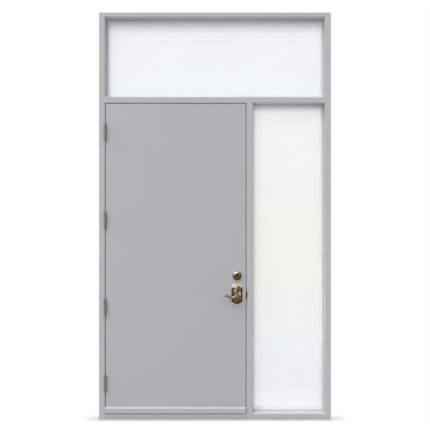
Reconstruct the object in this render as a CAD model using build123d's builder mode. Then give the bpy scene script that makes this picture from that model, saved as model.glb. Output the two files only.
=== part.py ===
from build123d import *
import os

os.makedirs("parts", exist_ok=True)

# Steel entry door with transom light and side light, in its welded frame.
# X runs to the right seen from outside, Y runs inwards, Z up.
# The origin is under the middle of the sill, at half the depth of the frame.

# Frame
frame_width = 1828.8
frame_height = 3200.4
frame_depth = 146.0
jamb_face = 47.0
head_face = 36.0
bar_face = 50.8
sill_face = 39.5
frame_steel = 2.0
edge_radius = 6.5
bend_radius = 2.5
rebate_start = 54.0
pocket = 14.0
outside = -frame_depth / 2

# Door opening, measured between the visible edges of the frame
opening_width = 1115.1
opening_left = -frame_width / 2 + jamb_face
opening_right = opening_left + opening_width
opening_top = 2486.5
opening_bottom = sill_face

# Door leaf
gap = 4.5
bottom_gap = 6.5
leaf_thickness = 44.5
leaf_inset = 1.5
skin_steel = 1.5
leaf_left = opening_left + gap
leaf_right = opening_right - gap
leaf_bottom = opening_bottom + bottom_gap
leaf_top = opening_top - gap
leaf_outside = outside + leaf_inset
leaf_inside = leaf_outside + leaf_thickness
leaf_middle = leaf_outside + leaf_thickness / 2
leaf_edge_radius = 2.5

# Door stop and its bulb seal
stop_height = 16.0
stop_width = 40.0
trim_steel = 1.5
seal_width = 8.0
seal_clearance = 0.3

# Insulated glass, 25.4 mm thick, seated in the pockets of the frame
pane = 6.0
glass_unit = 25.4
glass_bite = 10.0
gasket = 3.0
gasket_lip = 2.0
inner_gasket = 2.6
setting_block_length = 100.0

# Butt hinges, 127 x 101.6 mm open
hinge_heights = (277.0, 878.0, 1565.0, 2261.0)
hinge_height = 127.0
hinge_plate = 4.6
hinge_reach = 50.8
knuckle_radius = 8.5
knuckle_count = 5
knuckle_gap = 0.4
pin_radius = 4.0
pin_fit = 0.06
pin_stand_off = 12.0
pin_tip = 4.0
hinge_x = (opening_left + leaf_left) / 2
hinge_y = outside - pin_stand_off

# Lock
backset = 69.85
lock_x = leaf_right - backset
latch_z = 974.0
bolt_z = 1126.0
cross_bore = 27.0
edge_bore = 12.7
face_plate_height = 57.15
face_plate_width = 25.4
face_plate_thickness = 2.5
latch_throw = 12.7
bolt_throw = 25.4

# Flat head screws for hinges and strikes
screw_head_radius = 5.5
screw_head_depth = 3.2
screw_shank_radius = 2.6
screw_length = 10.0


def closed_outline(points, eased, radius):
    # Outline with every corner bent, the corners in eased more roundly
    with BuildSketch() as outline:
        with BuildLine():
            Polyline(*points, close=True)
        make_face()
        soft = [v for v in outline.vertices() if (round(v.X, 3), round(v.Y, 3)) in eased]
        plain = [v for v in outline.vertices() if (round(v.X, 3), round(v.Y, 3)) not in eased]
        fillet(soft, radius=radius)
        fillet(plain, radius=bend_radius)
    return outline.sketch


def bent_strip(points, thickness, radius):
    # Open formed strip: its visible side follows the points
    with BuildSketch() as strip:
        with BuildLine():
            FilletPolyline(*points, radius=radius)
            offset(amount=thickness, side=Side.LEFT)
        make_face()
    return strip.sketch


def tube(outline, plane, length):
    # Hollow member, open at its ends until it is welded to its neighbours
    extrude(plane * outline, amount=length)
    extrude(plane * hollows[outline.label], amount=length, mode=Mode.SUBTRACT)


def block(low, high, mode=Mode.ADD):
    # Rectangular block between two opposite corners
    size = [b - a for a, b in zip(low, high)]
    centre = [(a + b) / 2 for a, b in zip(low, high)]
    with Locations(tuple(centre)):
        Box(*size, mode=mode)


def save(builder, name):
    builder.part.label = name
    export_step(builder.part, f"parts/{name}.step")


# Section of a jamb, head or sill: u from the wall side, v from the outside face
def perimeter_points(face):
    shelf = face - pocket
    return [
        (0, 0), (face, 0), (face, rebate_start),
        (shelf, rebate_start), (shelf, frame_depth), (0, frame_depth),
    ]


jamb_outline = closed_outline(perimeter_points(jamb_face), {(jamb_face, 0)}, edge_radius)
head_outline = closed_outline(perimeter_points(head_face), {(head_face, 0)}, edge_radius)
sill_outline = closed_outline(perimeter_points(sill_face), {(sill_face, 0)}, edge_radius)

# Section of the mullion and the transom bar: a wide nose and a narrow stem
bar_points = [
    (0, 0), (bar_face, 0), (bar_face, rebate_start), (bar_face - pocket, rebate_start),
    (bar_face - pocket, frame_depth), (pocket, frame_depth), (pocket, rebate_start),
    (0, rebate_start),
]
bar_outline = closed_outline(bar_points, {(0, 0), (bar_face, 0)}, edge_radius)

hollows = {}
outlines = {"jamb": jamb_outline, "head": head_outline, "sill": sill_outline, "bar": bar_outline}
for name, outline in outlines.items():
    outline.label = name
    hollows[name] = offset(outline, amount=-frame_steel)

# Only the nose of the bar outline, in front of the rebate
with BuildSketch() as nose:
    add(bar_outline)
    with Locations((bar_face / 2, (rebate_start + frame_depth) / 2)):
        Rectangle(bar_face + 2, frame_depth - rebate_start, mode=Mode.SUBTRACT)
bar_nose = nose.sketch

half_width = frame_width / 2
shelf_x = half_width - jamb_face + pocket
sight_x = half_width - jamb_face
nose_run = edge_radius + 1.5
nose_end = sight_x + nose_run
bar_plane = Plane(origin=(shelf_x, outside, opening_top), x_dir=(0, 0, 1), z_dir=(-1, 0, 0))
mullion_plane = Plane(origin=(opening_right, outside, opening_bottom - pocket))
mullion_length = opening_top - opening_bottom + 2 * pocket


def mitre(side, end, keep):
    # Corner of the frame, cut from its outer to its visible edge: side 1 is right, end 1 is the top
    face = head_face if end > 0 else sill_face
    corner = (side * half_width, outside, frame_height if end > 0 else 0)
    split(bisect_by=Plane(origin=corner, z_dir=(side * face, 0, -end * jamb_face)), keep=keep)


def notch(outline, plane, start, amount):
    # Seat in the rounded edge of a member for the nose of the one that is welded to it
    extrude(plane.offset(start) * outline, amount=amount, mode=Mode.SUBTRACT)


# Left jamb, with hinge cut-outs and fixing holes to the wall
anchor_heights = (250.0, 1150.0, 2050.0, 2950.0)
anchor_radius = 5.5
access_radius = 9.0
anchor_y = outside + (rebate_start + frame_depth) / 2
plate_edge = opening_left - hinge_plate


def fixing_holes(side):
    # Bolt holes in the wall side of a jamb, each behind a wider access hole
    wall = side * half_width
    shelf = side * shelf_x
    turn = 90 * side
    for height in anchor_heights:
        with Locations(Location((wall, anchor_y, height), (0, turn, 0))):
            Cylinder(anchor_radius, 4 * frame_steel, mode=Mode.SUBTRACT)
        with Locations(Location((shelf, anchor_y, height), (0, turn, 0))):
            Cylinder(access_radius, 4 * frame_steel, mode=Mode.SUBTRACT)


with BuildPart() as left_jamb:
    tube(jamb_outline, Plane(origin=(-half_width, outside, 0)), frame_height)
    mitre(-1, 1, Keep.TOP)
    mitre(-1, -1, Keep.TOP)
    notch(bar_nose, bar_plane, shelf_x + sight_x, nose_run)
    fixing_holes(-1)
    for height in hinge_heights:
        block(
            (plate_edge, outside - 1, height - hinge_height / 2 - 0.2),
            (opening_left + 1, hinge_y + hinge_reach + 0.2, height + hinge_height / 2 + 0.2),
            Mode.SUBTRACT,
        )
save(left_jamb, "left_jamb")

with BuildPart() as right_jamb:
    tube(
        jamb_outline,
        Plane(origin=(half_width, outside, frame_height), x_dir=(-1, 0, 0), z_dir=(0, 0, -1)),
        frame_height,
    )
    mitre(1, 1, Keep.TOP)
    mitre(1, -1, Keep.TOP)
    notch(bar_nose, bar_plane, shelf_x - nose_end, nose_run)
    fixing_holes(1)
save(right_jamb, "right_jamb")

head_anchor_x = 600.0
with BuildPart() as head:
    tube(
        head_outline,
        Plane(origin=(-half_width, outside, frame_height), x_dir=(0, 0, -1), z_dir=(1, 0, 0)),
        frame_width,
    )
    mitre(-1, 1, Keep.BOTTOM)
    mitre(1, 1, Keep.BOTTOM)
    for x in (-head_anchor_x, head_anchor_x):
        with Locations((x, anchor_y, frame_height)):
            Cylinder(anchor_radius, 4 * frame_steel, mode=Mode.SUBTRACT)
        with Locations((x, anchor_y, frame_height - head_face + pocket)):
            Cylinder(access_radius, 4 * frame_steel, mode=Mode.SUBTRACT)
save(head, "head")

with BuildPart() as sill:
    tube(
        sill_outline,
        Plane(origin=(half_width, outside, 0), x_dir=(0, 0, 1), z_dir=(-1, 0, 0)),
        frame_width,
    )
    mitre(-1, -1, Keep.BOTTOM)
    mitre(1, -1, Keep.BOTTOM)
    notch(bar_nose, mullion_plane, pocket - nose_run, nose_run)
save(sill, "sill")

# The noses of the bar and the mullion stop just inside their neighbours' edges, their stems run on to the shelves
with BuildPart() as transom_bar:
    tube(bar_outline, bar_plane, 2 * shelf_x)
    for near, far in ((-shelf_x - 1, -nose_end), (nose_end, shelf_x + 1)):
        block(
            (near, outside - 1, opening_top - 1),
            (far, outside + rebate_start, opening_top + bar_face + 1),
            Mode.SUBTRACT,
        )
    notch(bar_nose, mullion_plane, mullion_length - pocket, nose_run)
save(transom_bar, "transom_bar")

# Mullion between sill and transom bar, with cut-outs for the two strikes
strike_steel = 2.0
strike_height = 70.0
strike_width = 29.0
lip_height = 62.0
lip_reach = 4.0
lip_room = 5.0
strike_front = leaf_middle - strike_width / 2
strike_back = leaf_middle + strike_width / 2

with BuildPart() as mullion:
    tube(bar_outline, mullion_plane, mullion_length)
    for low, high in (
        (opening_bottom - pocket - 1, opening_bottom - nose_run),
        (opening_top + nose_run, opening_top + pocket + 1),
    ):
        block(
            (opening_right - 1, outside - 1, low),
            (opening_right + bar_face + 1, outside + rebate_start, high),
            Mode.SUBTRACT,
        )
    for height in (latch_z, bolt_z):
        block(
            (opening_right - 1, strike_front - 0.2, height - strike_height / 2 - 0.2),
            (opening_right + strike_steel, strike_back + 0.2, height + strike_height / 2 + 0.2),
            Mode.SUBTRACT,
        )
    block(
        (opening_right - 1, outside - 1, latch_z - lip_height / 2 - 0.3),
        (opening_right + lip_room, strike_front, latch_z + lip_height / 2 + 0.3),
        Mode.SUBTRACT,
    )
save(mullion, "mullion")

# Door stops: formed channels, mitred round the door opening
stop_outline = bent_strip(
    [
        (-pocket, rebate_start), (stop_height, rebate_start),
        (stop_height, rebate_start + stop_width), (0, rebate_start + stop_width),
        (0, frame_depth), (-pocket, frame_depth),
    ],
    trim_steel,
    2.0,
)


def mitred_bar(outline, start, end, inward):
    along = (end - start).normalized()
    start_plane = Plane(origin=start - along * pocket, x_dir=inward, z_dir=along)
    extrude(start_plane * outline, amount=(end - start).length + 2 * pocket)
    split(bisect_by=Plane(origin=start, z_dir=along - inward), keep=Keep.TOP)
    split(bisect_by=Plane(origin=end, z_dir=-along - inward), keep=Keep.TOP)


bottom_left = Vector(opening_left, outside, opening_bottom)
bottom_right = Vector(opening_right, outside, opening_bottom)
top_left = Vector(opening_left, outside, opening_top)
top_right = Vector(opening_right, outside, opening_top)

with BuildPart() as hinge_stop:
    mitred_bar(stop_outline, bottom_left, top_left, Vector(1, 0, 0))
save(hinge_stop, "hinge_stop")

with BuildPart() as head_stop:
    mitred_bar(stop_outline, top_left, top_right, Vector(0, 0, -1))
save(head_stop, "head_stop")

with BuildPart() as lock_stop:
    mitred_bar(stop_outline, top_right, bottom_right, Vector(-1, 0, 0))
save(lock_stop, "lock_stop")

with BuildPart() as threshold:
    mitred_bar(stop_outline, bottom_right, bottom_left, Vector(0, 0, 1))
save(threshold, "threshold")


def ring(left, right, bottom, top, outer, inner, start_y, thickness):
    # Rectangular ring round an opening: outer is how far it reaches past the edge, inner how far inside it lies
    with BuildSketch(Plane.XZ.offset(-start_y)) as outline:
        with Locations(((left + right) / 2, (bottom + top) / 2)):
            Rectangle(right - left + 2 * outer, top - bottom + 2 * outer)
            Rectangle(right - left - 2 * inner, top - bottom - 2 * inner, mode=Mode.SUBTRACT)
    extrude(outline.sketch, amount=-thickness)


# Bulb seal on the outer side of the stops
with BuildPart() as door_seal:
    seal_front = leaf_inside + seal_clearance
    seal_depth = outside + rebate_start - seal_front
    ring(
        opening_left, opening_right, opening_bottom, opening_top,
        -bottom_gap, bottom_gap + seal_width, seal_front, seal_depth,
    )
    fillet(door_seal.faces().sort_by(Axis.Y)[0].edges(), radius=seal_width / 2 - 0.4)
save(door_seal, "door_seal")

# Glass units with their gaskets and removable inner beads
bead_start = rebate_start + gasket + glass_unit + inner_gasket
bead_joint = 0.3
bead_outline = bent_strip(
    [(-pocket, bead_start), (0, bead_start), (0, frame_depth), (-pocket, frame_depth)],
    trim_steel,
    2.0,
)
lights = {
    "transom": (-sight_x, sight_x, opening_top + bar_face, frame_height - head_face),
    "sidelight": (opening_right + bar_face, sight_x, opening_bottom, opening_top),
}
outer_pane_y = outside + rebate_start + gasket
inner_pane_y = outer_pane_y + glass_unit - pane

for name, (left, right, bottom, top) in lights.items():
    for side, start_y in (("outer", outer_pane_y), ("inner", inner_pane_y)):
        with BuildPart() as glass:
            with BuildSketch(Plane.XZ.offset(-start_y)):
                with Locations(((left + right) / 2, (bottom + top) / 2)):
                    Rectangle(right - left + 2 * glass_bite, top - bottom + 2 * glass_bite)
            extrude(amount=-pane)
            chamfer(glass.edges().filter_by(Axis.Y, reverse=True), length=0.6)
        save(glass, f"{name}_{side}_pane")

    # The level beads run the whole width, the upright ones stand between them
    with BuildPart() as beads:
        for z, up in ((bottom, 1), (top, -1)):
            begin = right + pocket if up > 0 else left - pocket
            with BuildSketch(Plane(origin=(begin, outside, z), x_dir=(0, 0, up), z_dir=(-up, 0, 0))):
                add(bead_outline)
            extrude(amount=right - left + 2 * pocket)
        for x, way, begin in ((left, 1, bottom + bead_joint), (right, -1, top - bead_joint)):
            with BuildSketch(Plane(origin=(x, outside, begin), x_dir=(way, 0, 0), z_dir=(0, 0, way))):
                add(bead_outline)
            extrude(amount=top - bottom - 2 * bead_joint)
    save(beads, f"{name}_beads")

with BuildPart() as glazing_spacers:
    for left, right, bottom, top in lights.values():
        ring(left, right, bottom, top, glass_bite - 0.5, -1.5, outer_pane_y + pane, glass_unit - 2 * pane)
save(glazing_spacers, "glazing_spacers")

with BuildPart() as glazing_gaskets:
    for left, right, bottom, top in lights.values():
        ring(left, right, bottom, top, glass_bite + 2, gasket_lip, outer_pane_y - gasket, gasket)
        ring(left, right, bottom, top, glass_bite + 2, gasket_lip, inner_pane_y + pane, inner_gasket)
save(glazing_gaskets, "glazing_gaskets")

# Blocks that carry the glass on the shelves of the sill and the transom bar
with BuildPart() as setting_blocks:
    for left, right, bottom, top in lights.values():
        for share in (0.25, 0.75):
            x = left + share * (right - left)
            block(
                (x - setting_block_length / 2, outer_pane_y, bottom - pocket),
                (x + setting_block_length / 2, outer_pane_y + glass_unit, bottom - glass_bite),
            )
save(setting_blocks, "setting_blocks")


# Hinges. Each screw sits two across and four high on a plate
screw_rows = (-47.0, -17.0, 17.0, 47.0)
plate_middle_y = hinge_y + hinge_reach - 20.0
screw_shift = 8.0


def screw_spots():
    # Screw places on every hinge, as Y and Z, set alternately forward and back
    for height in hinge_heights:
        for row, z in enumerate(screw_rows):
            yield plate_middle_y + screw_shift * (-1) ** row, height + z


def flat_head_screw(clearance=0.0):
    # Revolved about its own axis, head at the origin and point along +X
    with BuildSketch(Plane.XY) as half:
        with BuildLine():
            Polyline(
                (0, 0), (0, screw_head_radius + clearance),
                (screw_head_depth, screw_shank_radius + clearance),
                (screw_length, screw_shank_radius + clearance), (screw_length, 0), close=True,
            )
        make_face()
    return revolve(half.sketch, axis=Axis.X)


screw = flat_head_screw()
screw_hole = flat_head_screw(clearance=0.05)


def screws_at(x, way, spots, shape, mode=Mode.ADD):
    # Screws that enter along way (1 is +X, -1 is -X) from a face at x
    for y, z in spots:
        add(Location((x, y, z), (0, 0, 0 if way > 0 else 180)) * shape, mode=mode)


def hinge_leaf(height, side):
    # Plate and knuckles of one hinge half: side -1 is on the jamb, 1 on the door
    face = hinge_x + side * (leaf_left - hinge_x)
    near, far = sorted((face, face + side * hinge_plate))
    low = height - hinge_height / 2
    step = hinge_height / knuckle_count
    reach = knuckle_radius + 0.4
    block((near, hinge_y + reach, low), (far, hinge_y + hinge_reach, low + hinge_height))
    for number in range(knuckle_count):
        mine = number % 2 == (0 if side < 0 else 1)
        bottom = low + number * step + knuckle_gap / 2
        top = low + (number + 1) * step - knuckle_gap / 2
        if mine:
            block((near, hinge_y, bottom), (far, hinge_y + reach, top))
            with Locations((hinge_x, hinge_y, (bottom + top) / 2)):
                Cylinder(knuckle_radius, top - bottom)
    with Locations((hinge_x, hinge_y, height)):
        Cylinder(pin_radius + pin_fit, hinge_height, mode=Mode.SUBTRACT)
    spots = [spot for spot in screw_spots() if abs(spot[1] - height) < hinge_height / 2]
    screws_at(face, side, spots, screw_hole, Mode.SUBTRACT)


for number, height in enumerate(hinge_heights, start=1):
    with BuildPart() as jamb_half:
        hinge_leaf(height, -1)
    save(jamb_half, f"hinge_{number}_jamb_leaf")
    with BuildPart() as door_half:
        hinge_leaf(height, 1)
    save(door_half, f"hinge_{number}_door_leaf")

with BuildPart() as hinge_pins:
    for height in hinge_heights:
        with Locations((hinge_x, hinge_y, height)):
            Cylinder(pin_radius, hinge_height)
        for end in (-1, 1):
            with Locations((hinge_x, hinge_y, height + end * (hinge_height / 2 + pin_tip / 2))):
                Cylinder(knuckle_radius - 1.0, pin_tip)
    rims = hinge_pins.edges().filter_by(GeomType.CIRCLE)
    tips = [rim for rim in rims if any(
        abs(abs(rim.center().Z - height) - hinge_height / 2 - pin_tip) < 0.01 for height in hinge_heights
    )]
    chamfer(tips, length=1.8)
save(hinge_pins, "hinge_pins")

# Steel plates welded inside the jamb and the leaf, which take the hinge screws
hinge_plate_half = hinge_height / 2 + 25.0
hinge_end_y = hinge_y + hinge_reach + 0.2

with BuildPart() as jamb_hinge_plates:
    for height in hinge_heights:
        block(
            (opening_left - screw_length - 0.5, outside + 7, height - hinge_plate_half),
            (opening_left - frame_steel, outside + 48, height + hinge_plate_half),
        )
        block(
            (plate_edge, outside, height - hinge_height / 2 - 0.2),
            (opening_left, hinge_end_y, height + hinge_height / 2 + 0.2),
            Mode.SUBTRACT,
        )
    screws_at(opening_left, -1, screw_spots(), screw_hole, Mode.SUBTRACT)
save(jamb_hinge_plates, "jamb_hinge_plates")

skin_outside = leaf_outside + skin_steel
skin_inside = leaf_inside - skin_steel
corner_room = 1.2
leaf_plate_back = leaf_left + screw_length + 0.5

with BuildPart() as leaf_hinge_plates:
    for height in hinge_heights:
        block(
            (leaf_left + skin_steel, skin_outside, height - hinge_plate_half),
            (leaf_plate_back, skin_inside, height + hinge_plate_half),
        )
    chamfer(leaf_hinge_plates.edges().filter_by(Axis.Z).group_by(Axis.X)[0], length=corner_room)
    for height in hinge_heights:
        block(
            (leaf_left, leaf_outside, height - hinge_height / 2 - 0.2),
            (leaf_left + hinge_plate, hinge_end_y, height + hinge_height / 2 + 0.2),
            Mode.SUBTRACT,
        )
    screws_at(leaf_left, 1, screw_spots(), screw_hole, Mode.SUBTRACT)
save(leaf_hinge_plates, "leaf_hinge_plates")

# Lock prepared in the leaf: cross bores, edge bores, seats for the face plates, through bolts
face_screw = 20.64
face_corner = 6.35
escutcheon_z = 984.0
escutcheon_bolt = 52.0
through_bolt_radius = 2.2
lock_box_start = 130.0
lock_box_bottom = 880.0
lock_box_top = 1220.0
lock_box_steel = 2.5
face_spots = [
    (leaf_middle, height + end * face_screw) for height in (latch_z, bolt_z) for end in (-1, 1)
]


def face_plate_outline(height, clearance=0.0):
    # Rounded plate at the back of its seat, in the plane of the edge of the leaf
    seat = Plane(
        origin=(leaf_right - face_plate_thickness, leaf_middle, height), x_dir=(0, 1, 0), z_dir=(1, 0, 0)
    )
    with BuildSketch(seat) as outline:
        RectangleRounded(
            face_plate_width + 2 * clearance, face_plate_height + 2 * clearance, face_corner + clearance
        )
    return outline.sketch


def lock_cuts():
    for height in (latch_z, bolt_z):
        with Locations(Location((lock_x, leaf_middle, height), (90, 0, 0))):
            Cylinder(cross_bore, leaf_thickness + 2, mode=Mode.SUBTRACT)
        with Locations(Location((leaf_right, leaf_middle, height), (0, 90, 0))):
            Cylinder(edge_bore, 4 * lock_box_steel + 2, mode=Mode.SUBTRACT)
        seat = face_plate_outline(height, clearance=0.15)
        extrude(seat, amount=face_plate_thickness + 1, mode=Mode.SUBTRACT)
    for end in (-1, 1):
        with Locations(Location((lock_x, leaf_middle, escutcheon_z + end * escutcheon_bolt), (90, 0, 0))):
            Cylinder(through_bolt_radius + 0.8, leaf_thickness + 2, mode=Mode.SUBTRACT)


def skin(face_y, seam_y, name):
    # One formed face of the leaf with both of its edges turned back to the seam
    ends = [(leaf_left, seam_y), (leaf_left, face_y), (leaf_right, face_y), (leaf_right, seam_y)]
    path = ends if face_y < seam_y else ends[::-1]
    with BuildPart() as sheet:
        extrude(
            Plane.XY.offset(leaf_bottom) * bent_strip(path, skin_steel, leaf_edge_radius),
            amount=leaf_top - leaf_bottom,
        )
        for height in hinge_heights:
            block(
                (leaf_left - 1, leaf_outside - 1, height - hinge_height / 2 - 0.2),
                (leaf_left + hinge_plate, hinge_end_y, height + hinge_height / 2 + 0.2),
                Mode.SUBTRACT,
            )
        lock_cuts()
    save(sheet, name)


seam = 0.1
skin(leaf_outside, leaf_middle - seam / 2, "outer_skin")
skin(leaf_inside, leaf_middle + seam / 2, "inner_skin")

# Channels that close the top and the bottom of the leaf between the skins
channel_depth = 25.0
channel_half = leaf_thickness / 2 - skin_steel
channel_outline = bent_strip(
    [
        (-channel_half, channel_depth), (-channel_half, 0),
        (channel_half, 0), (channel_half, channel_depth),
    ],
    skin_steel,
    2.0,
)
with BuildPart() as end_channels:
    channel_left = leaf_left + skin_steel + corner_room
    extrude(
        Plane(origin=(channel_left, leaf_middle, leaf_bottom), x_dir=(0, 1, 0), z_dir=(1, 0, 0))
        * channel_outline,
        amount=leaf_right - leaf_left - 2 * (skin_steel + corner_room),
    )
    mirror(about=Plane.XY.offset((leaf_bottom + leaf_top) / 2))
save(end_channels, "end_channels")

# Box section that stiffens the leaf round the lock
with BuildPart() as lock_reinforcement:
    box_right = leaf_right - skin_steel
    box_path = [
        (lock_box_start, skin_outside), (box_right, skin_outside),
        (box_right, skin_inside), (lock_box_start, skin_inside),
    ]
    extrude(
        Plane.XY.offset(lock_box_bottom) * bent_strip(box_path, lock_box_steel, 3.0),
        amount=lock_box_top - lock_box_bottom,
    )
    lock_cuts()
    screws_at(leaf_right, -1, face_spots, screw_hole, Mode.SUBTRACT)
save(lock_reinforcement, "lock_reinforcement")

# Insulating core, notched for the lock box and the hinge plates
with BuildPart() as door_core:
    block(
        (leaf_left + skin_steel, skin_outside, leaf_bottom + channel_depth),
        (leaf_right - skin_steel, skin_inside, leaf_top - channel_depth),
    )
    block(
        (leaf_left + skin_steel, skin_outside + 2 * skin_steel, leaf_bottom + 2 * skin_steel),
        (leaf_right - skin_steel, skin_inside - 2 * skin_steel, leaf_top - 2 * skin_steel),
    )
    block(
        (lock_box_start, leaf_outside, lock_box_bottom), (leaf_right, leaf_inside, lock_box_top), Mode.SUBTRACT
    )
    for height in hinge_heights:
        block(
            (leaf_left, leaf_outside, height - hinge_plate_half),
            (leaf_plate_back, leaf_inside, height + hinge_plate_half),
            Mode.SUBTRACT,
        )
    chamfer(door_core.edges().filter_by(Axis.Z).group_by(Axis.X)[0], length=corner_room)
    chamfer(door_core.edges().filter_by(Axis.Z).group_by(Axis.X)[-1], length=corner_room)
save(door_core, "door_core")

# Sweep across the foot of the leaf, with a drip edge and a rubber fin
sweep_left = opening_left - 0.6
sweep_top = 88.5
sweep_bottom = 44.5
sweep_out = 9.0
drip_out = 10.5
drip_start = 53.0
fin_near = 2.0
fin_far = 5.0
fin_seat = 51.0
fin_tip = 40.5
sweep_plane = Plane(origin=(leaf_right, leaf_outside, 0), x_dir=(0, -1, 0), z_dir=(-1, 0, 0))

with BuildPart() as bottom_sweep:
    with BuildSketch(sweep_plane):
        with BuildLine():
            Polyline(
                (0, sweep_top), (sweep_out, sweep_top - sweep_out), (sweep_out, drip_start),
                (drip_out, sweep_bottom), (fin_far, sweep_bottom), (fin_far, fin_seat),
                (fin_near, fin_seat), (fin_near, sweep_bottom), (0, sweep_bottom), close=True,
            )
        make_face()
    extrude(amount=leaf_right - sweep_left)
save(bottom_sweep, "bottom_sweep")

with BuildPart() as sweep_fin:
    with BuildSketch(sweep_plane):
        with Locations(((fin_near + fin_far) / 2, (fin_seat + fin_tip) / 2)):
            Rectangle(fin_far - fin_near, fin_seat - fin_tip)
    extrude(amount=leaf_right - sweep_left)
save(sweep_fin, "sweep_fin")

# Strikes on the mullion, each screwed to a backing plate inside it
strike_screw = 27.0
backing_half = 50.0
backing_steel = 3.0
latch_hole = (16.5, 32.0)
bolt_hole = (15.0, 22.0)
strike_spots = [
    (leaf_middle, height + end * strike_screw) for height in (latch_z, bolt_z) for end in (-1, 1)
]


def strike_hole(height, size):
    with Locations((opening_right + strike_steel, leaf_middle, height)):
        Box(4 * strike_steel, *size, mode=Mode.SUBTRACT)


with BuildPart() as latch_strike:
    lip_path = [
        (opening_right, strike_back), (opening_right, outside + 2.5),
        (opening_right + lip_reach, outside - lip_reach),
    ]
    extrude(
        Plane.XY.offset(latch_z - strike_height / 2) * bent_strip(lip_path, strike_steel, 3.0),
        amount=strike_height,
    )
    for end in (-1, 1):
        block(
            (opening_right - 1, outside - 10, latch_z + end * (strike_height / 2 + lip_height / 2) / 2 - 2),
            (opening_right + 10, strike_front, latch_z + end * (strike_height / 2 + lip_height / 2) / 2 + 2),
            Mode.SUBTRACT,
        )
    strike_hole(latch_z, latch_hole)
    screws_at(opening_right, 1, strike_spots, screw_hole, Mode.SUBTRACT)
save(latch_strike, "latch_strike")

with BuildPart() as deadbolt_strike:
    block(
        (opening_right, strike_front, bolt_z - strike_height / 2),
        (opening_right + strike_steel, strike_back, bolt_z + strike_height / 2),
    )
    strike_hole(bolt_z, bolt_hole)
    screws_at(opening_right, 1, strike_spots, screw_hole, Mode.SUBTRACT)
save(deadbolt_strike, "deadbolt_strike")

with BuildPart() as strike_backing:
    for height, size in ((latch_z, latch_hole), (bolt_z, bolt_hole)):
        block(
            (opening_right + strike_steel, outside + 7, height - backing_half),
            (opening_right + strike_steel + backing_steel, outside + 40, height + backing_half),
        )
        strike_hole(height, size)
    screws_at(opening_right, 1, strike_spots, screw_hole, Mode.SUBTRACT)
save(strike_backing, "strike_backing")

with BuildPart() as frame_screws:
    screws_at(opening_left, -1, screw_spots(), screw)
    screws_at(opening_right, 1, strike_spots, screw)
save(frame_screws, "frame_screws")

with BuildPart() as leaf_screws:
    screws_at(leaf_left, 1, screw_spots(), screw)
    screws_at(leaf_right, -1, face_spots, screw)
save(leaf_screws, "leaf_screws")

# Latch and deadbolt: face plate, tube and rear block in one case, with the bolt sliding inside
case_tube = 11.5
case_bore = 9.0
latch_radius = 7.9
bolt_case_tube = 12.0
bolt_case_bore = 10.6
bolt_high = 17.0
bolt_wide = 11.5
slide_fit = 0.05
tube_start = 188.0
case_start = 160.0
case_wide = 19.0
case_high = 22.0
latch_tail = (6.0, 10.0)
bolt_tail = (6.0, 8.0)
tail_room = 0.4
cam_radius = 8.0
tailpiece_bore = 5.0
plate_back = leaf_right - face_plate_thickness


def lock_case(height, outer, bore, tail, cam):
    extrude(face_plate_outline(height), amount=face_plate_thickness)
    with Locations(Location(((tube_start + plate_back) / 2, leaf_middle, height), (0, 90, 0))):
        Cylinder(outer, plate_back - tube_start)
    block(
        (case_start, leaf_middle - case_wide / 2, height - case_high / 2),
        (tube_start + 4, leaf_middle + case_wide / 2, height + case_high / 2),
    )
    with Locations(Location(((tube_start + 4 + plate_back) / 2, leaf_middle, height), (0, 90, 0))):
        Cylinder(bore, plate_back - tube_start - 4, mode=Mode.SUBTRACT)
    with Locations(Location((lock_x, leaf_middle, height), (90, 0, 0))):
        Cylinder(cam, case_wide, mode=Mode.SUBTRACT)
    with Locations(((lock_x + tube_start + 6) / 2, leaf_middle, height)):
        Box(tube_start + 6 - lock_x, tail[0] + tail_room, tail[1] + tail_room, mode=Mode.SUBTRACT)
    spots = [spot for spot in face_spots if abs(spot[1] - height) < face_plate_height / 2]
    screws_at(leaf_right, -1, spots, screw_hole, Mode.SUBTRACT)


with BuildPart() as latch_case:
    lock_case(latch_z, case_tube, case_bore, latch_tail, cam_radius)
    with Locations(Location((leaf_right, leaf_middle, latch_z), (0, 90, 0))):
        Cylinder(latch_radius + slide_fit, 4 * face_plate_thickness, mode=Mode.SUBTRACT)
save(latch_case, "latch_case")

latch_tip = leaf_right + latch_throw
latch_back = 214.0
latch_tail_end = 196.0
with BuildPart() as latch_bolt:
    with Locations(Location(((latch_back + latch_tip) / 2, leaf_middle, latch_z), (0, 90, 0))):
        Cylinder(latch_radius, latch_tip - latch_back)
    with Locations(((latch_tail_end + latch_back) / 2, leaf_middle, latch_z)):
        Box(latch_back - latch_tail_end, *latch_tail)
    # The slope faces inwards, so that the closing leaf rides over the lip of the strike
    with BuildSketch(Plane.XY.offset(latch_z - latch_radius)):
        with BuildLine():
            Polyline(
                (latch_tip, leaf_middle - 5), (leaf_right + 0.4, leaf_middle + latch_radius),
                (latch_tip + 1, leaf_middle + latch_radius + 1), (latch_tip + 1, leaf_middle - 5),
                close=True,
            )
        make_face()
    extrude(amount=2 * latch_radius, mode=Mode.SUBTRACT)
save(latch_bolt, "latch_bolt")

with BuildPart() as deadbolt_case:
    lock_case(bolt_z, bolt_case_tube, bolt_case_bore, bolt_tail, tailpiece_bore)
    with Locations((leaf_right, leaf_middle, bolt_z)):
        Box(
            4 * face_plate_thickness, bolt_wide + 2 * slide_fit, bolt_high + 2 * slide_fit,
            mode=Mode.SUBTRACT,
        )
save(deadbolt_case, "deadbolt_case")

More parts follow.
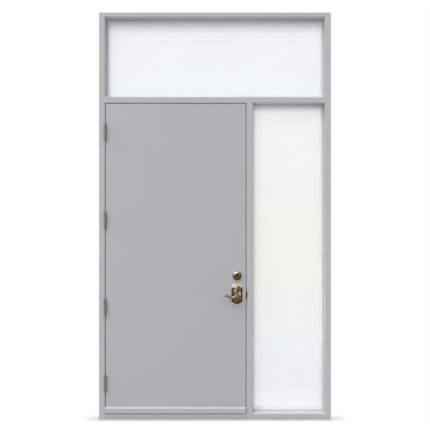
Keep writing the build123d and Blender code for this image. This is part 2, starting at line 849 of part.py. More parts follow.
bolt_tip = leaf_right - 0.2
bolt_back = 200.0
bolt_tail_end = 186.0
with BuildPart() as deadbolt:
    with Locations(((bolt_back + bolt_tip) / 2, leaf_middle, bolt_z)):
        Box(bolt_tip - bolt_back, bolt_wide, bolt_high)
    fillet(deadbolt.faces().sort_by(Axis.X)[-1].edges(), radius=1.2)
    with Locations(((bolt_tail_end + bolt_back) / 2, leaf_middle, bolt_z)):
        Box(bolt_back - bolt_tail_end, *bolt_tail)
save(deadbolt, "deadbolt")

# Escutcheons: arched cast plates with a raised body, a ring round the lever and a hollow back
escutcheon_half = 43.0
escutcheon_side = 56.5
escutcheon_rise = 80.5
base_thickness = 4.5
body_inset = 8.0
body_drop = 15.0
body_round = 8.5
body_thickness = 14.0
ring_radius = 21.0
ring_thickness = 18.0
neck_radius = 11.0
neck_fit = 0.06
wall_thickness = 4.5
post_radius = 6.5
neck_wall = 4.0
lever_drop = latch_z - escutcheon_z
outer_face = Plane(origin=(lock_x, leaf_outside, escutcheon_z), x_dir=(1, 0, 0), z_dir=(0, -1, 0))
middle_plane = Plane(origin=(0, leaf_middle, 0), z_dir=(0, 1, 0))


def arched_plate(inset, drop, start, end, mode=Mode.ADD):
    # Plate with straight sides and arched ends, at a depth from the face of the leaf
    half = escutcheon_half - inset
    side = escutcheon_side - drop / 2
    rise = escutcheon_rise - drop
    with BuildSketch() as outline:
        with BuildLine():
            Line((-half, -side), (-half, side))
            ThreePointArc((-half, side), (0, rise), (half, side))
            Line((half, side), (half, -side))
            ThreePointArc((half, -side), (0, -rise), (-half, -side))
        make_face()
    extrude(outer_face.offset(start) * outline.sketch, amount=end - start, mode=mode)


def on_face(depth, x=0.0, z=0.0):
    # Place on the outer face of the leaf, measured from the middle of the escutcheon
    return outer_face.offset(depth).location * Location((x, z, 0))


with BuildPart() as escutcheon_form:
    arched_plate(0, 0, 0, base_thickness)
    chamfer(escutcheon_form.faces().sort_by(Axis.Y)[0].edges(), length=2.0)
    arched_plate(body_inset, body_drop, base_thickness, body_thickness)
    fillet(escutcheon_form.faces().sort_by(Axis.Y)[0].edges(), radius=body_round)
    with Locations(on_face((body_thickness + ring_thickness) / 2 - 2, z=lever_drop)):
        Cylinder(ring_radius, ring_thickness - body_thickness + 4)
    fillet(escutcheon_form.faces().sort_by(Axis.Y)[0].edges(), radius=2.0)
    arched_plate(
        body_inset + wall_thickness, body_drop + wall_thickness, 0, body_thickness - wall_thickness, Mode.SUBTRACT
    )
    with Locations(on_face(body_thickness / 2 - 1, z=lever_drop)):
        Cylinder(neck_radius + neck_wall, body_thickness - 2)
    with Locations(*[on_face(body_thickness / 2 - 1, z=end * escutcheon_bolt) for end in (-1, 1)]):
        Cylinder(post_radius, body_thickness - 2)
    with Locations(on_face(ring_thickness / 2, z=lever_drop)):
        Cylinder(neck_radius + neck_fit, ring_thickness + 2, mode=Mode.SUBTRACT)

bolt_head_radius = 4.2
bolt_head_depth = 2.4
thread_depth = 9.0
with BuildPart() as outside_escutcheon:
    add(escutcheon_form.part)
    with Locations(*[on_face(thread_depth / 2, z=end * escutcheon_bolt) for end in (-1, 1)]):
        Cylinder(through_bolt_radius + slide_fit, thread_depth, mode=Mode.SUBTRACT)
save(outside_escutcheon, "outside_escutcheon")


def through_bolt(x, z, head_y, tip_y, clearance=0.0):
    # Countersunk machine screw that enters from inside, from head_y to tip_y
    with BuildSketch(Plane.XY) as half:
        with BuildLine():
            Polyline(
                (0, 0), (bolt_head_radius + clearance, 0),
                (through_bolt_radius + clearance, -bolt_head_depth),
                (through_bolt_radius + clearance, tip_y - head_y), (0, tip_y - head_y), close=True,
            )
        make_face()
    return Location((x, head_y, z)) * revolve(half.sketch, axis=Axis.Y, mode=Mode.PRIVATE)


rose_radius = 32.0
rose_thickness = 8.0
rose_bolts = ((15.5, 15.8), (-15.5, -15.8))
escutcheon_bolts = [
    (lock_x, escutcheon_z + end * escutcheon_bolt, leaf_inside + body_thickness, leaf_outside - thread_depth)
    for end in (-1, 1)
]
turn_bolts = [
    (lock_x + x, bolt_z + z, leaf_inside + rose_thickness, leaf_outside - 6) for x, z in rose_bolts
]

with BuildPart() as inside_escutcheon:
    mirror(escutcheon_form.part, about=middle_plane)
    for place in escutcheon_bolts:
        add(through_bolt(*place, clearance=slide_fit), mode=Mode.SUBTRACT)
save(inside_escutcheon, "inside_escutcheon")

with BuildPart() as lock_screws:
    for place in escutcheon_bolts + turn_bolts:
        add(through_bolt(*place))
save(lock_screws, "lock_screws")

# Levers: a wave that runs from a short heel, through the hub, to a thin tip
neck_start = 8.0
hub_radius = 17.5
hub_start = 40.0
hub_end = 62.0
arm_depth = 52.0
spindle_side = 8.0
spindle_grip = 22.0
lever_waves = (
    (22, -5, 5.0, 4.5), (12, -1, 12.5, 9.5), (0, -1, 15.5, 9.5), (-33, -16, 11.0, 8.5),
    (-65, -8, 8.5, 7.0), (-98, 1, 7.0, 6.0), (-117, -9, 3.5, 3.5),
)

with BuildPart() as outside_lever:
    with Locations(on_face((hub_start + hub_end) / 2, z=lever_drop)):
        Cylinder(hub_radius, hub_end - hub_start)
    fillet(outside_lever.faces().sort_by(Axis.Y)[0].edges(), radius=5.0)
    for x, z, half_high, half_thick in lever_waves:
        station = Plane(
            origin=(lock_x + x, leaf_outside - arm_depth, latch_z + z), x_dir=(0, 1, 0), z_dir=(1, 0, 0)
        )
        with BuildSketch(station):
            Ellipse(half_thick, half_high)
    loft()
    with Locations(on_face((neck_start + hub_start + 4) / 2, z=lever_drop)):
        Cylinder(neck_radius, hub_start + 4 - neck_start)
    with Locations(on_face(neck_start + spindle_grip / 2, z=lever_drop)):
        Box(
            spindle_side + 2 * slide_fit, spindle_side + 2 * slide_fit, spindle_grip, mode=Mode.SUBTRACT
        )
save(outside_lever, "outside_lever")

with BuildPart() as inside_lever:
    mirror(outside_lever.part, about=middle_plane)
save(inside_lever, "inside_lever")

with BuildPart() as lever_spindle:
    with Locations((lock_x, leaf_middle, latch_z)):
        Box(spindle_side, leaf_thickness + 2 * (neck_start + spindle_grip), spindle_side)
    chamfer(lever_spindle.edges().filter_by(Axis.Y), length=0.6)
save(lever_spindle, "lever_spindle")

# Deadbolt trim outside: tapered collar, fixed cylinder set back in it, and the keyed plug
collar_radius = 36.0
collar_rim = 22.5
collar_depth = 22.0
collar_bore = 18.3
cylinder_radius = 18.0
cylinder_depth = 18.0
cylinder_back = -6.0
plug_radius = 6.6
plug_fit = 0.05
keyway = (1.6, 8.5, 12.0)
tailpiece = (6.0, 1.5)
trim_face = Plane(origin=(lock_x, leaf_outside, bolt_z), x_dir=(1, 0, 0), z_dir=(0, -1, 0))


def on_trim(depth, x=0.0, z=0.0):
    return trim_face.offset(depth).location * Location((x, z, 0))


with BuildPart() as deadbolt_collar:
    with BuildSketch(Plane(origin=(lock_x, leaf_outside, bolt_z), x_dir=(1, 0, 0), z_dir=(0, 0, 1))):
        with BuildLine():
            Polyline((collar_bore, -collar_depth), (collar_bore, 0), (collar_radius, 0), (collar_radius, -3))
            ThreePointArc((collar_radius, -3), (31.5, -13), (collar_rim, -collar_depth))
            Line((collar_rim, -collar_depth), (collar_bore, -collar_depth))
        make_face()
    revolve(axis=Axis((lock_x, leaf_outside, bolt_z), (0, 1, 0)))
    with Locations(*[on_trim(3.5, x, z) for x, z in rose_bolts]):
        Cylinder(through_bolt_radius + slide_fit, 7, mode=Mode.SUBTRACT)
save(deadbolt_collar, "deadbolt_collar")

with BuildPart() as deadbolt_cylinder:
    with Locations(on_trim((cylinder_back + cylinder_depth) / 2)):
        Cylinder(cylinder_radius, cylinder_depth - cylinder_back)
    chamfer(deadbolt_cylinder.edges().filter_by(GeomType.CIRCLE).sort_by(Axis.Y)[0], length=1.0)
    with Locations(on_trim((cylinder_back + cylinder_depth) / 2)):
        Cylinder(plug_radius + plug_fit, cylinder_depth - cylinder_back, mode=Mode.SUBTRACT)
save(deadbolt_cylinder, "deadbolt_cylinder")

turn_back = 1.5
turn_bore_depth = 6.0
with BuildPart() as cylinder_plug:
    with Locations(on_trim((cylinder_back + cylinder_depth) / 2)):
        Cylinder(plug_radius, cylinder_depth - cylinder_back)
    with Locations(on_trim(cylinder_depth - keyway[2] / 2)):
        Box(*keyway, mode=Mode.SUBTRACT)
    tail_start = leaf_outside - cylinder_back
    tail_end = leaf_inside + turn_back + turn_bore_depth - 1
    with Locations((lock_x, (tail_start + tail_end) / 2, bolt_z)):
        Box(tailpiece[0], tail_end - tail_start, tailpiece[1])
save(cylinder_plug, "cylinder_plug")

# Thumb turn inside, on its rose
turn_hub = 9.0
turn_stem = 13.0
paddle_half_high = 19.0
paddle_half_wide = 5.0
paddle_end = 27.0
with BuildPart() as turn_rose:
    with Locations(Location((lock_x, leaf_inside + rose_thickness / 2, bolt_z), (90, 0, 0))):
        Cylinder(rose_radius, rose_thickness)
    fillet(turn_rose.edges().filter_by(GeomType.CIRCLE).sort_by(Axis.Y)[-1], radius=3.0)
    with Locations(Location((lock_x, leaf_inside + rose_thickness / 2, bolt_z), (90, 0, 0))):
        Cylinder(turn_hub + neck_fit, rose_thickness, mode=Mode.SUBTRACT)
    for place in turn_bolts:
        add(through_bolt(*place, clearance=slide_fit), mode=Mode.SUBTRACT)
save(turn_rose, "turn_rose")

with BuildPart() as thumb_turn:
    paddle_start = leaf_inside + turn_stem - 2
    with BuildSketch(Plane(origin=(lock_x, paddle_start, bolt_z), x_dir=(0, 0, 1), z_dir=(0, 1, 0))):
        SlotOverall(2 * paddle_half_high, 2 * paddle_half_wide)
    extrude(amount=paddle_end - turn_stem + 2)
    fillet(thumb_turn.faces().sort_by(Axis.Y)[-1].edges(), radius=2.0)
    with Locations(Location((lock_x, leaf_inside + (turn_back + turn_stem) / 2, bolt_z), (90, 0, 0))):
        Cylinder(turn_hub, turn_stem - turn_back)
    with Locations(
        Location((lock_x, leaf_inside + turn_back + turn_bore_depth / 2, bolt_z), (90, 0, 0))
    ):
        Cylinder(tailpiece[0] / 2 + 0.5, turn_bore_depth, mode=Mode.SUBTRACT)
save(thumb_turn, "thumb_turn")
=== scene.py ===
import math

import bpy
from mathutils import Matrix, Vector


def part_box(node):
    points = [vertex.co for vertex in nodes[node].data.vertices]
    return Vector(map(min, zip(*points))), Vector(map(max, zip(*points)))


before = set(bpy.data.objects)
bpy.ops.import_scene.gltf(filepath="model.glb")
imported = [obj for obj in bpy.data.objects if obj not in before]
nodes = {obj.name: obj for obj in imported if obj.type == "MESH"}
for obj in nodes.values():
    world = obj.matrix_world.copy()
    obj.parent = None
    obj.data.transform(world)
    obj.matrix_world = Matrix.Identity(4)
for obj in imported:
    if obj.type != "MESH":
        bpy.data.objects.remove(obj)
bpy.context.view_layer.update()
print("frame loaded:", len(nodes), "nodes")


class Wire:
    # A socket that takes part in sums: every operator adds one Math node
    def __init__(self, graph, socket):
        self.graph = graph
        self.socket = socket

    def maths(self, operation, first, second):
        return self.graph.node("Math", {"operation": operation}, {0: first, 1: second})

    def smaller(self, other):
        return self.maths("MINIMUM", self, other)

    def withoutSign(self):
        return self.maths("ABSOLUTE", self, 0.0)

    def __add__(self, other):
        return self.maths("ADD", self, other)

    def __radd__(self, other):
        return self.maths("ADD", other, self)

    def __sub__(self, other):
        return self.maths("SUBTRACT", self, other)

    def __rsub__(self, other):
        return self.maths("SUBTRACT", other, self)

    def __mul__(self, other):
        return self.maths("MULTIPLY", self, other)

    def __rmul__(self, other):
        return self.maths("MULTIPLY", other, self)

    def __truediv__(self, other):
        return self.maths("DIVIDE", self, other)

    def __rtruediv__(self, other):
        return self.maths("DIVIDE", other, self)


class Graph:
    # The node tree of one material or of the world
    def __init__(self, owner):
        owner.use_nodes = True
        self.tree = owner.node_tree
        self.tree.nodes.clear()

    def node(self, kind, settings=None, sockets=None, output=0):
        made = self.tree.nodes.new("ShaderNode" + kind)
        for key, value in (settings or {}).items():
            if key == "stops":
                self.setStops(made.color_ramp, value)
            else:
                setattr(made, key, value)
        for key, value in (sockets or {}).items():
            if isinstance(value, Wire):
                self.tree.links.new(value.socket, made.inputs[key])
            else:
                made.inputs[key].default_value = value
        return Wire(self, made.outputs[output]) if len(made.outputs) else None

    def setStops(self, ramp, stops):
        while len(ramp.elements) < len(stops):
            ramp.elements.new(0.5)
        for element, (place, colour) in zip(ramp.elements, stops):
            element.position = place
            element.color = (*colour, 1.0)

    def mixColour(self, factor, first, second):
        settings = {"data_type": "RGBA", "clamp_factor": True}  # its colours are sockets 6 and 7
        return self.node("Mix", settings, {0: factor, 6: padded(first), 7: padded(second)}, 2)

    def place(self):
        return self.node("TexCoord", output=3)  # the object's own axes, so it moves with its body

    def parts(self, vector):
        split = self.node("SeparateXYZ", {}, {0: vector})
        return [Wire(self, socket) for socket in split.socket.node.outputs]

    def axes(self):
        return self.parts(self.place())

    def noise(self, scale, detail=3.0, place=None):
        sockets = {"Vector": place or self.place(), "Scale": scale, "Detail": detail}
        return self.node("TexNoise", {}, {**sockets, "Roughness": 0.55})

    def fade(self, value, low, high):
        sockets = {"Value": value, "From Min": low, "From Max": high}
        return self.node("MapRange", {"interpolation_type": "SMOOTHSTEP", "clamp": True}, sockets)

    def bump(self, height, distance, strength=1.0):
        return self.node("Bump", {}, {"Height": height, "Distance": distance, "Strength": strength})

    def surface(self, shader):
        self.node("OutputMaterial", {}, {0: shader})

    def seenDirectly(self):
        # 1 for what the camera sees, also in a mirror or through glass, and 0 for what only lights
        rays = self.node("LightPath").socket.node.outputs
        direct = Wire(self, rays["Is Camera Ray"]) + Wire(self, rays["Is Glossy Ray"])
        return direct + Wire(self, rays["Is Transmission Ray"])


def padded(colour):
    return colour if isinstance(colour, Wire) else (*colour, 1.0)


def newMaterial(name):
    material = bpy.data.materials.new(name)
    return material, Graph(material)


def dress(material, *names):
    for name in names:
        piece = nodes[name]
        if not piece.material_slots:
            piece.data.materials.append(material)
        for slot in piece.material_slots:
            slot.material = material


# Grey paint over steel sheet: orange peel, faint clouding, and a slow change of tone across the
# door that is painted light falling off from the left
leafPaint = {
    "left": (0.477, 0.484, 0.489), "right": (0.467, 0.466, 0.480), "cloud": (0.448, 0.449, 0.463),
    "cloudShare": 0.35, "peelScale": 420.0, "peelDepth": 0.00004, "roughness": 0.42,
}
framePaint = {
    "left": (0.497, 0.497, 0.508), "right": (0.500, 0.498, 0.508), "cloud": (0.478, 0.478, 0.490),
    "cloudShare": 0.35, "peelScale": 460.0, "peelDepth": 0.00003, "roughness": 0.40,
    "rebate": (0.20, 0.20, 0.21),  # painted shade: a dark grey in the rebate round the shut leaf, where shade falls in the gap
    "rebateAcross": (-0.8690, 0.2487), "rebateInward": (-0.072, -0.024), "rebateTop": 2.4875,
    "rebateSoft": 0.002, "rebateFrontSoft": 0.008, "rebateBackSoft": 0.004,
}
sweepPaint = {
    "left": (0.492, 0.494, 0.503), "right": (0.485, 0.486, 0.496), "cloud": (0.470, 0.471, 0.482),
    "cloudShare": 0.3, "peelScale": 460.0, "peelDepth": 0.00003, "roughness": 0.38,
}
paintCoat = {  # the same for all three
    "falloffAcross": (-0.85, 0.25), "cloudScale": 3.2, "cloudFade": (0.35, 0.75),
    "sheenScale": 14.0, "sheenSpread": 0.08, "ior": 1.45,
}


# The mask where shade is painted into the rebate round the shut leaf
def paintedRebateShade(graph, look):
    across, inward, up = graph.axes()
    left, right = look["rebateAcross"]
    front, back = look["rebateInward"]
    top, soft = look["rebateTop"], look["rebateSoft"]
    beside = graph.fade(across, left - soft, left) * graph.fade(across, right + soft, right - soft)
    fromFront = graph.fade(inward, front, front + look["rebateFrontSoft"])
    fromBack = graph.fade(inward, back, back - look["rebateBackSoft"])
    return beside * (fromFront * fromBack) * graph.fade(up, top + soft, top - soft)


def paintedSteel(name, look):
    material, graph = newMaterial(name)
    across = graph.axes()[0]
    # painted light: the colour shades across the door, lighter toward the lit left on the leaf and
    # the sweep
    paintedFalloff = graph.fade(across, *paintCoat["falloffAcross"])
    tone = graph.mixColour(paintedFalloff, look["left"], look["right"])
    clouds = graph.fade(graph.noise(paintCoat["cloudScale"], detail=4.0), *paintCoat["cloudFade"])
    colour = graph.mixColour(clouds * look["cloudShare"], tone, look["cloud"])
    if "rebate" in look:
        # painted shade in the rebate round the shut leaf
        colour = graph.mixColour(paintedRebateShade(graph, look), colour, look["rebate"])
    spread = paintCoat["sheenSpread"]
    sheen = graph.noise(paintCoat["sheenScale"]) * spread + (look["roughness"] - spread / 2)
    shader = graph.node("BsdfPrincipled", {}, {
        "Base Color": colour, "Roughness": sheen, "IOR": paintCoat["ior"],
        "Normal": graph.bump(graph.noise(look["peelScale"], detail=2.0), look["peelDepth"]),
    })
    graph.surface(shader)
    return material


dress(paintedSteel("leafPaint", leafPaint), "outer_skin", "inner_skin", "end_channels")
dress(paintedSteel("sweepPaint", sweepPaint), "bottom_sweep")
dress(
    paintedSteel("framePaint", framePaint),
    "left_jamb", "right_jamb", "head", "sill", "transom_bar", "mullion", "hinge_stop", "head_stop",
    "lock_stop", "threshold", "transom_beads", "sidelight_beads",
)
print("paint done")

# Pale glass: each pane lays a thin milky veil over what stands behind it, denser toward its edges,
# and its colour from bottom to top is a painted reflection of the surroundings
transomGlass = {
    "outer": (0.24, 0.64), "inner": (0.06, 0.36),  # the veil in the middle and at the edges
    "topFade": 0.12, "sideFade": 0.035,
    # the veil's colour from bottom to top, a painted reflection of the surroundings
    "stops": [(0.0, (0.86, 0.94, 1.0)), (0.45, (0.86, 0.92, 1.0)), (1.0, (0.93, 0.96, 0.96))],
}
sidelightGlass = {
    "outer": (0.27, 0.62), "inner": (0.07, 0.36), "topFade": 0.06, "sideFade": 0.035,
    # the veil's colour from bottom to top, a painted reflection of the surroundings
    "stops": [
        (0.0, (0.97, 0.98, 0.98)), (0.08, (0.82, 0.87, 0.95)), (0.24, (0.82, 0.88, 0.87)),
        (0.45, (0.88, 0.88, 0.78)), (0.72, (0.91, 0.90, 0.85)), (1.0, (0.95, 0.95, 0.96)),
    ],
}
glassSheet = {  # the same for all four panes
    "hidden": 0.012,  # the rim that the beads cover
    "edgeColour": (0.97, 0.98, 0.98), "roughness": 0.05, "ior": 1.52,
    "rippleScale": 1.4, "rippleShare": 0.04, "rippleDepth": 0.00006, "rippleStrength": 0.4,
}


def paleGlass(name, look, side):
    material, graph = newMaterial(name)
    material.surface_render_method = "BLENDED"
    across, _, up = graph.axes()
    low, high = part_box(name)
    # painted reflection: the veil's colour changes from bottom to top
    paintedReflectionTint = graph.node("ValToRGB", {"stops": look["stops"]}, {0: (up - low[2]) / (high[2] - low[2])})
    hidden = glassSheet["hidden"]
    fromSide = (across - low[0]).smaller(high[0] - across)
    sides = graph.fade(fromSide, hidden, hidden + look["sideFade"])
    top = graph.fade(high[2] - up, hidden, hidden + look["topFade"])
    foot = graph.fade(up - low[2], hidden, hidden + look["sideFade"])
    inside = sides * top * foot
    middle, edge = look[side]
    ripple = graph.noise(glassSheet["rippleScale"], detail=2.0)
    share = glassSheet["rippleShare"]
    shader = graph.node("BsdfPrincipled", {}, {
        "Base Color": graph.mixColour(inside, glassSheet["edgeColour"], paintedReflectionTint),
        "Roughness": glassSheet["roughness"], "IOR": glassSheet["ior"],
        "Alpha": inside * (middle - edge) + ripple * share + (edge - share / 2),
        "Normal": graph.bump(ripple, glassSheet["rippleDepth"], glassSheet["rippleStrength"]),
    })
    graph.surface(shader)
    return material


for lightName, glassLook in (("transom", transomGlass), ("sidelight", sidelightGlass)):
    for side in ("outer", "inner"):
        paneName = f"{lightName}_{side}_pane"
        dress(paleGlass(paneName, glassLook, side), paneName)

# Sealing rubber: black round the door, light grey round the glass
rubberLooks = {
    "blackRubber": {
        "colour": (0.022, 0.022, 0.024), "dust": (0.075, 0.074, 0.072), "roughness": 0.62,
    },
    "greyRubber": {
        "colour": (0.42, 0.43, 0.44), "dust": (0.50, 0.50, 0.50), "roughness": 0.55,
    },
}
rubberSkin = {
    "dustScale": 60.0, "dustFade": (0.45, 0.85), "dustRough": 0.2,
    "grainScale": 900.0, "grainDepth": 0.00005,
}


def sealingRubber(name):
    look = rubberLooks[name]
    material, graph = newMaterial(name)
    dust = graph.fade(graph.noise(rubberSkin["dustScale"], detail=5.0), *rubberSkin["dustFade"])
    grain = graph.noise(rubberSkin["grainScale"], detail=2.0)
    shader = graph.node("BsdfPrincipled", {}, {
        "Base Color": graph.mixColour(dust, look["colour"], look["dust"]),
        "Roughness": dust * rubberSkin["dustRough"] + look["roughness"],
        "Normal": graph.bump(grain, rubberSkin["grainDepth"]),
    })
    graph.surface(shader)
    return material


dress(sealingRubber("blackRubber"), "door_seal", "setting_blocks", "sweep_fin")
dress(sealingRubber("greyRubber"), "glazing_gaskets")

# Bare metals: satin hinges, dark strikes, zinc plated inner steel and spacer aluminium
metalLooks = {
    "satinSteel": {
        "colour": (0.23, 0.23, 0.235), "worn": (0.15, 0.15, 0.155), "roughness": 0.38,
        "grain": (90.0, 90.0, 2400.0), "depth": 0.00002, "spots": 160.0,
    },
    "darkSteel": {
        "colour": (0.07, 0.07, 0.07), "worn": (0.13, 0.125, 0.12), "roughness": 0.40,
        "grain": (300.0, 300.0, 900.0), "depth": 0.00002, "spots": 120.0,
    },
    "zincSteel": {
        "colour": (0.52, 0.52, 0.50), "worn": (0.38, 0.37, 0.34), "roughness": 0.42,
        "grain": (300.0, 300.0, 300.0), "depth": 0.00002, "spots": 45.0,
    },
    "millAluminium": {
        "colour": (0.72, 0.72, 0.73), "worn": (0.60, 0.60, 0.61), "roughness": 0.34,
        "grain": (30.0, 30.0, 1500.0), "depth": 0.00001, "spots": 60.0,
    },
}
metalSkin = {"wornFade": (0.42, 0.80), "wornRough": 0.12, "grainRough": 0.08}


def bareMetal(name):
    look = metalLooks[name]
    material, graph = newMaterial(name)
    sockets = {0: graph.place(), 1: look["grain"]}
    stretched = graph.node("VectorMath", {"operation": "MULTIPLY"}, sockets)
    grain = graph.noise(1.0, detail=2.0, place=stretched)
    worn = graph.fade(graph.noise(look["spots"], detail=4.0), *metalSkin["wornFade"])
    rough = worn * metalSkin["wornRough"] + grain * metalSkin["grainRough"]
    shader = graph.node("BsdfPrincipled", {}, {
        "Base Color": graph.mixColour(worn, look["colour"], look["worn"]), "Metallic": 1.0,
        "Roughness": rough + (look["roughness"] - metalSkin["wornRough"] / 2),
        "Normal": graph.bump(grain, look["depth"]),
    })
    graph.surface(shader)
    return material


hingeNodes = [f"hinge_{number}_{side}_leaf" for number in range(1, 5) for side in ("jamb", "door")]
dress(bareMetal("satinSteel"), *hingeNodes, "hinge_pins", "frame_screws", "leaf_screws")
dress(bareMetal("darkSteel"), "latch_strike", "deadbolt_strike")
dress(bareMetal("millAluminium"), "glazing_spacers")
dress(
    bareMetal("zincSteel"),
    "jamb_hinge_plates", "leaf_hinge_plates", "lock_reinforcement", "strike_backing", "latch_case",
    "deadbolt_case", "lever_spindle",
)

# Aged brass with painted light: a painted highlight where it faces up and to the left, painted
# shade where it faces down and to the right, over a random patina mottle
brassLooks = {
    "lockBrass": {
        "polished": (0.80, 0.70, 0.52), "middle": (0.215, 0.155, 0.075),
        "patina": (0.062, 0.045, 0.022), "roughness": 0.22, "spots": 55.0,
    },
    "plateBrass": {
        "polished": (0.68, 0.57, 0.41), "middle": (0.200, 0.140, 0.066),
        "patina": (0.066, 0.046, 0.021), "roughness": 0.22, "spots": 70.0,
        "patches": [  # across, up, radius, and the painted highlight or painted shade
            (0.166, 1.036, 0.016, "polished"), (0.160, 1.008, 0.011, "polished"),
            (0.192, 0.983, 0.018, "polished"), (0.180, 1.012, 0.015, "patina"),
            (0.184, 0.936, 0.018, "patina"), (0.150, 0.950, 0.022, "patina"),
        ],
        "patchShare": 0.85, "patchCore": 0.3, "patchWander": 0.012,  # strength, even part, edge
        "wallFade": (0.85, 0.45),  # painted shade on the side walls, from faces that look outward to side walls
        "rimInward": (0.081, 0.078), "rimUp": (1.020, 1.040),  # the lower step, and where its painted highlight sits
    },
    "leverBrass": {
        "polished": (0.46, 0.40, 0.29), "middle": (0.24, 0.195, 0.125),
        "patina": (0.085, 0.068, 0.042), "roughness": 0.20, "spots": 42.0,
    },
    "cylinderBrass": {
        "polished": (0.20, 0.16, 0.08), "middle": (0.085, 0.068, 0.030),
        "patina": (0.045, 0.034, 0.016), "roughness": 0.34, "spots": 60.0,
    },
}
brassSkin = {  # the same for all four
    "sideLean": 0.35, "cloudLean": 0.5, "lowerFade": (-0.60, 0.0), "upperFade": (0.22, 0.80),
    "mottleFade": (0.42, 0.60), "mottleShare": 0.6, "fineness": 9.0, "wornRough": 0.10,
    "wornDepth": 0.00002,
}


def paintedPlateLight(graph, look, colour, clouds, outward):
    # Painted highlights and painted dark reflections in spots on the plate, painted shade on the
    # side walls, and a rim with a painted highlight near its top and painted shade below
    across, inward, up = graph.axes()
    wander = look["patchWander"]
    for x, z, radius, lightOrShade in look["patches"]:
        reach = graph.node("CombineXYZ", {}, {0: across - x, 2: up - z})
        away = graph.node("VectorMath", {"operation": "LENGTH"}, {0: reach}, 1)
        patch = graph.fade(away + clouds * wander - wander / 2, radius, radius * look["patchCore"])
        colour = graph.mixColour(patch * look["patchShare"], colour, look[lightOrShade])
    walls = graph.fade(outward.withoutSign(), *look["wallFade"])
    colour = graph.mixColour(walls, colour, look["patina"])
    rim = graph.fade(inward.withoutSign(), *look["rimInward"])
    top = graph.fade(up, *look["rimUp"])
    return graph.mixColour(rim, colour, graph.mixColour(top, look["patina"], look["polished"]))


def agedBrass(name):
    look = brassLooks[name]
    material, graph = newMaterial(name)
    facing = graph.node("TexCoord", output=1)  # the object's own normals
    sideways, outward, rise = graph.parts(facing)
    clouds = graph.noise(look["spots"])
    worn = graph.noise(look["spots"] * brassSkin["fineness"], detail=4.0)
    lean = brassSkin["cloudLean"]
    # painted light: faces that look up and to the left are painted lighter, faces that look down
    # and to the right darker
    light = rise - sideways * brassSkin["sideLean"] + clouds * lean - lean / 2
    mottle = graph.fade(clouds, *brassSkin["mottleFade"]) * brassSkin["mottleShare"]
    colour = graph.mixColour(mottle, look["middle"], look["patina"])
    # painted shade where it faces down, and a painted highlight where it faces up
    colour = graph.mixColour(graph.fade(light, *brassSkin["lowerFade"]), look["patina"], colour)
    colour = graph.mixColour(graph.fade(light, *brassSkin["upperFade"]), colour, look["polished"])
    if "patches" in look:
        colour = paintedPlateLight(graph, look, colour, clouds, outward)
    rough = brassSkin["wornRough"]
    shader = graph.node("BsdfPrincipled", {}, {
        "Base Color": colour, "Metallic": 1.0,
        "Roughness": worn * rough + (look["roughness"] - rough / 2),
        "Normal": graph.bump(worn, brassSkin["wornDepth"]),
    })
    graph.surface(shader)
    return material


dress(agedBrass("lockBrass"), "deadbolt_collar", "turn_rose")
dress(agedBrass("plateBrass"), "outside_escutcheon", "inside_escutcheon")
dress(
    agedBrass("leverBrass"),
    "outside_lever", "inside_lever", "thumb_turn", "lock_screws", "latch_bolt", "deadbolt",
)
dress(agedBrass("cylinderBrass"), "deadbolt_cylinder", "cylinder_plug")

# Pale foam inside the leaf, with its closed cells
foamLook = {
    "colour": (0.80, 0.77, 0.66), "cell": (0.66, 0.62, 0.50), "roughness": 0.9,
    "scale": 380.0, "depth": 0.0003,
}


def foamCore():
    material, graph = newMaterial("foamCore")
    cells = graph.node("TexVoronoi", {}, {"Vector": graph.place(), "Scale": foamLook["scale"]})
    shader = graph.node("BsdfPrincipled", {}, {
        "Base Color": graph.mixColour(cells, foamLook["colour"], foamLook["cell"]),
        "Roughness": foamLook["roughness"], "Normal": graph.bump(cells, foamLook["depth"]),
    })
    graph.surface(shader)
    return material


dress(foamCore(), "door_core")
print("materials done")

# Plain pale floor: it shows white, and keeps the shadow that gathers along the foot of the frame
floorLook = {
    "half": 30.0, "albedo": 0.32,
    "lineFade": 0.075,  # how far the shadow reaches from the front and the back edge
    "cornerFade": (-0.002, 0.006),  # where it ends at the frame's outer corners
    "sideFade": 0.17, "sideShare": 0.45,  # how far it goes on past them, and how strongly
    "frontFade": (0.02, -0.02),  # only the front's goes on
}


def footShadow(graph):
    low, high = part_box("left_jamb")  # its outer corner and its depth give the whole footprint
    across, inward, _ = graph.axes()
    fromLine = (inward.withoutSign() - high[1]).withoutSign()
    aside = across.withoutSign() + low[0]
    share = graph.fade(inward, *floorLook["frontFade"]) * floorLook["sideShare"]
    corner = graph.fade(aside, *floorLook["cornerFade"]) * (1.0 - share)
    shade = 1.0 - corner - graph.fade(aside, 0.0, floorLook["sideFade"]) * share
    return (1.0 - graph.fade(fromLine, 0.0, floorLook["lineFade"])) * shade


def makeFloor():
    mesh = bpy.data.meshes.new("floor")
    half = floorLook["half"]
    corners = [(-half, -half, 0), (half, -half, 0), (half, half, 0), (-half, half, 0)]
    mesh.from_pydata(corners, [], [(0, 1, 2, 3)])
    floor = bpy.data.objects.new("floor", mesh)
    bpy.context.scene.collection.objects.link(floor)
    material, graph = newMaterial("floorPaint")
    diffuse = graph.node("BsdfDiffuse", {}, {"Color": padded((floorLook["albedo"],) * 3)})
    white = graph.node("Emission", {}, {"Strength": 1.0})
    seen = graph.node("MixShader", {}, {0: 1.0 - footShadow(graph), 1: diffuse, 2: white})
    graph.surface(graph.node("MixShader", {}, {0: graph.seenDirectly(), 1: diffuse, 2: seen}))
    mesh.materials.append(material)


makeFloor()

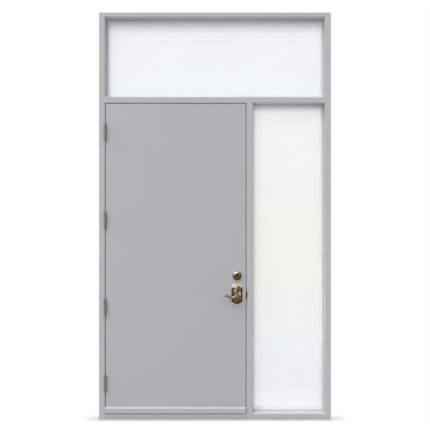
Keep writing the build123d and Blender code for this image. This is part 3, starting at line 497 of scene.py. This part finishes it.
# Soft studio light: a dome bright overhead, a broad lamp high on the left and a weak one behind
domeLook = {"top": (2.1, 2.12, 2.15), "side": (0.27, 0.27, 0.27)}
lamps = {
    "keyLamp": {"kind": "SUN", "turn": (44.0, 0.0, -46.0), "angle": 62.0, "energy": 1.86},
    "backLamp": {
        "kind": "AREA", "at": (0.0, 2.4, 0.4), "turn": (-140.0, 0.0, 0.0), "size": 2.4,
        "energy": 110.0,
    },
}


def makeWorld():
    world = bpy.data.worlds.new("studio")
    bpy.context.scene.world = world
    graph = Graph(world)
    height = graph.parts(graph.node("TexCoord", output=0))[2]  # of the direction looked in
    dome = graph.mixColour(height * height, domeLook["side"], domeLook["top"])
    light = graph.node("Background", {}, {"Color": dome, "Strength": 1.0})
    white = graph.node("Background", {}, {"Color": (1.0, 1.0, 1.0, 1.0), "Strength": 1.0})
    mixed = graph.node("MixShader", {}, {0: graph.seenDirectly(), 1: light, 2: white})
    graph.node("OutputWorld", {}, {0: mixed})


def makeLamp(name, look):
    data = bpy.data.lights.new(name, look["kind"])
    data.energy = look["energy"]
    lamp = bpy.data.objects.new(name, data)
    bpy.context.scene.collection.objects.link(lamp)
    lamp.rotation_euler = [math.radians(turn) for turn in look["turn"]]
    if look["kind"] == "SUN":
        data.angle = math.radians(look["angle"])
    else:
        data.size = look["size"]
        lamp.location = look["at"]
        lamp.visible_camera = False


makeWorld()
for lampName, lampLook in lamps.items():
    makeLamp(lampName, lampLook)
print("stage and light done")

# Level camera in front of the door, a little below the middle of its height
cameraLook = {"distance": 3.485, "height": 1.489, "lens": 37.0, "sensor": 36.0, "shift": 0.0338}


def makeCamera():
    data = bpy.data.cameras.new("camera")
    data.lens = cameraLook["lens"]
    data.sensor_width = cameraLook["sensor"]
    data.shift_y = cameraLook["shift"]
    camera = bpy.data.objects.new("camera", data)
    bpy.context.scene.collection.objects.link(camera)
    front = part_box("left_jamb")[0][1]  # the front face of the frame
    camera.location = (0.0, front - cameraLook["distance"], cameraLook["height"])
    camera.rotation_euler = (math.radians(90.0), 0.0, 0.0)
    bpy.context.scene.camera = camera


makeCamera()
bpy.context.scene.view_settings.view_transform = "Standard"
